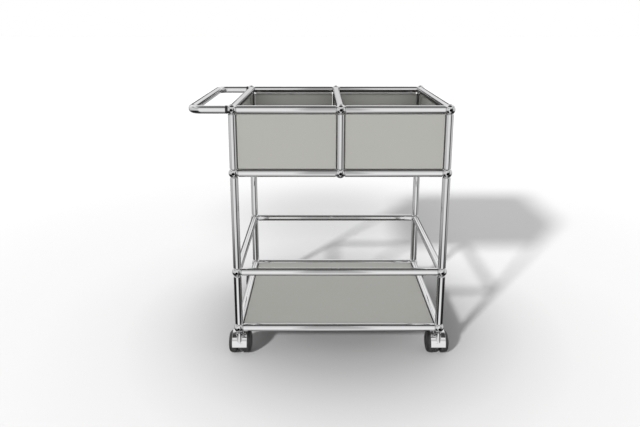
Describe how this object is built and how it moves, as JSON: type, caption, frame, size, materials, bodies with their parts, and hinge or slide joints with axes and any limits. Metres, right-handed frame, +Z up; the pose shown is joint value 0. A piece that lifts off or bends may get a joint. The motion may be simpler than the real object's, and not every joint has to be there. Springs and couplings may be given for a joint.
{
  "type": "bar cart",
  "caption": "Serving cart with a chromed tube-and-ball frame, open sheet-steel bins on top, a railed base shelf, a side push handle and swivel casters.",
  "frame": {"origin": "middle of the bounding box of the whole cart, at floor level", "axes": "+Z up; +Y from the front of the cart to its back; +X from the handle end to the other end"},
  "size_m": [0.631, 0.4192, 0.64],
  "materials": {
    "tube_chrome": "polished chrome plating on steel tube and brass balls",
    "hood_chrome": "polished chrome plating",
    "powder_coat": "light warm-grey powder coat, satin, very fine texture",
    "collar_plastic": "black, satin",
    "wheel_rubber": "black moulded polyamide wheel, satin",
    "axle_steel": "zinc-plated turned steel"
  },
  "bodies": {
    "cart_frame": {"back_panel_left": "powder_coat", "back_panel_right": "powder_coat", "base_back_rail": "tube_chrome", "base_front_rail": "tube_chrome", "base_left_rail": "tube_chrome", "base_right_rail": "tube_chrome", "base_shelf": "powder_coat", "bin_back_rail": "tube_chrome", "bin_centre_rail": "tube_chrome", "bin_floor_left": "powder_coat", "bin_floor_right": "powder_coat", "bin_front_rail": "tube_chrome", "bin_left_rail": "tube_chrome", "bin_right_rail": "tube_chrome", "caster_back_left_stem": "axle_steel", "caster_back_right_stem": "axle_steel", "caster_front_left_stem": "axle_steel", "caster_front_right_stem": "axle_steel", "centre_post_back": "tube_chrome", "centre_post_front": "tube_chrome", "column_back_left": "tube_chrome", "column_back_right": "tube_chrome", "column_front_left": "tube_chrome", "column_front_right": "tube_chrome", "divider_panel": "powder_coat", "front_panel_left": "powder_coat", "front_panel_right": "powder_coat", "guard_back_rail": "tube_chrome", "guard_front_rail": "tube_chrome", "guard_left_rail": "tube_chrome", "guard_right_rail": "tube_chrome", "handle_collar_back": "collar_plastic", "handle_collar_front": "collar_plastic", "handle_tube": "tube_chrome", "side_panel_left": "powder_coat", "side_panel_right": "powder_coat", "top_back_rail": "tube_chrome", "top_centre_rail": "tube_chrome", "top_front_rail": "tube_chrome", "top_left_rail": "tube_chrome", "top_right_rail": "tube_chrome"},
    "caster_front_left_swivel": {"caster_front_left_hood": "hood_chrome", "caster_front_left_axle": "axle_steel"},
    "caster_front_left_wheel_left_roll": {"caster_front_left_wheel_left": "wheel_rubber"},
    "caster_front_left_wheel_right_roll": {"caster_front_left_wheel_right": "wheel_rubber"},
    "caster_front_right_swivel": {"caster_front_right_hood": "hood_chrome", "caster_front_right_axle": "axle_steel"},
    "caster_front_right_wheel_left_roll": {"caster_front_right_wheel_left": "wheel_rubber"},
    "caster_front_right_wheel_right_roll": {"caster_front_right_wheel_right": "wheel_rubber"},
    "caster_back_left_swivel": {"caster_back_left_hood": "hood_chrome", "caster_back_left_axle": "axle_steel"},
    "caster_back_left_wheel_left_roll": {"caster_back_left_wheel_left": "wheel_rubber"},
    "caster_back_left_wheel_right_roll": {"caster_back_left_wheel_right": "wheel_rubber"},
    "caster_back_right_swivel": {"caster_back_right_hood": "hood_chrome", "caster_back_right_axle": "axle_steel"},
    "caster_back_right_wheel_left_roll": {"caster_back_right_wheel_left": "wheel_rubber"},
    "caster_back_right_wheel_right_roll": {"caster_back_right_wheel_right": "wheel_rubber"}
  },
  "joints": [
    {"name": "caster_front_left_swivel_turn", "type": "hinge", "parent": "cart_frame", "child": "caster_front_left_swivel", "pos_m": [-0.212, -0.1975, 0.057], "axis": [0, 0, 1], "continuous": true},
    {"name": "caster_front_left_wheel_left_spin", "type": "hinge", "parent": "caster_front_left_swivel", "child": "caster_front_left_wheel_left_roll", "pos_m": [-0.23, -0.1775, 0.028], "axis": [1, 0, 0], "continuous": true},
    {"name": "caster_front_left_wheel_right_spin", "type": "hinge", "parent": "caster_front_left_swivel", "child": "caster_front_left_wheel_right_roll", "pos_m": [-0.194, -0.1775, 0.028], "axis": [1, 0, 0], "continuous": true},
    {"name": "caster_front_right_swivel_turn", "type": "hinge", "parent": "cart_frame", "child": "caster_front_right_swivel", "pos_m": [0.288, -0.1975, 0.057], "axis": [0, 0, 1], "continuous": true},
    {"name": "caster_front_right_wheel_left_spin", "type": "hinge", "parent": "caster_front_right_swivel", "child": "caster_front_right_wheel_left_roll", "pos_m": [0.27, -0.1775, 0.028], "axis": [1, 0, 0], "continuous": true},
    {"name": "caster_front_right_wheel_right_spin", "type": "hinge", "parent": "caster_front_right_swivel", "child": "caster_front_right_wheel_right_roll", "pos_m": [0.306, -0.1775, 0.028], "axis": [1, 0, 0], "continuous": true},
    {"name": "caster_back_left_swivel_turn", "type": "hinge", "parent": "cart_frame", "child": "caster_back_left_swivel", "pos_m": [-0.212, 0.1975, 0.057], "axis": [0, 0, 1], "continuous": true},
    {"name": "caster_back_left_wheel_left_spin", "type": "hinge", "parent": "caster_back_left_swivel", "child": "caster_back_left_wheel_left_roll", "pos_m": [-0.23, 0.1775, 0.028], "axis": [1, 0, 0], "continuous": true},
    {"name": "caster_back_left_wheel_right_spin", "type": "hinge", "parent": "caster_back_left_swivel", "child": "caster_back_left_wheel_right_roll", "pos_m": [-0.194, 0.1775, 0.028], "axis": [1, 0, 0], "continuous": true},
    {"name": "caster_back_right_swivel_turn", "type": "hinge", "parent": "cart_frame", "child": "caster_back_right_swivel", "pos_m": [0.288, 0.1975, 0.057], "axis": [0, 0, 1], "continuous": true},
    {"name": "caster_back_right_wheel_left_spin", "type": "hinge", "parent": "caster_back_right_swivel", "child": "caster_back_right_wheel_left_roll", "pos_m": [0.27, 0.1775, 0.028], "axis": [1, 0, 0], "continuous": true},
    {"name": "caster_back_right_wheel_right_spin", "type": "hinge", "parent": "caster_back_right_swivel", "child": "caster_back_right_wheel_right_roll", "pos_m": [0.306, 0.1775, 0.028], "axis": [1, 0, 0], "continuous": true}
  ]
}
